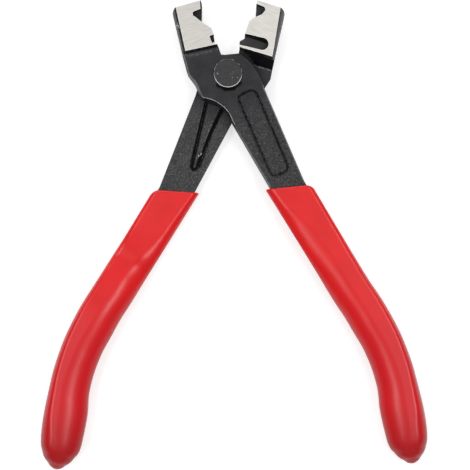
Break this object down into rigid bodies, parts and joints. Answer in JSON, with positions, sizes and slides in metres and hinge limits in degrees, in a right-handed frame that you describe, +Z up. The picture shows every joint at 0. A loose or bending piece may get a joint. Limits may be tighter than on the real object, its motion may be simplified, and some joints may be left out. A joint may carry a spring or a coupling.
{
  "type": "hose clamp pliers",
  "caption": "Pivoted pliers with short notched jaws for pinching ear clamps on hoses, and two bowed dipped handles.",
  "frame": {"origin": "on the pivot axis, at the flat end of the rivet that rests on the bench", "axes": "+Z up out of the bench along the pivot, +Y from the pivot towards the jaws, +X to the right of the jaws"},
  "size_m": [0.148, 0.1795, 0.0143],
  "materials": {
    "forged_steel": "black oxide on a forged skin, with ground jaw faces",
    "rivet_steel": "black oxide, worn at the rim",
    "dipped_vinyl": "smooth glossy dipped vinyl"
  },
  "bodies": {
    "front_half": {"front_lever": "forged_steel", "pivot_rivet": "rivet_steel", "front_grip": "dipped_vinyl"},
    "rear_half": {"rear_lever": "forged_steel", "rear_grip": "dipped_vinyl"}
  },
  "joints": [
    {"name": "pivot", "type": "hinge", "parent": "front_half", "child": "rear_half", "pos_m": [0, 0, 0.0071], "axis": [0, 0, 1], "range_deg": [0, 41]}
  ]
}
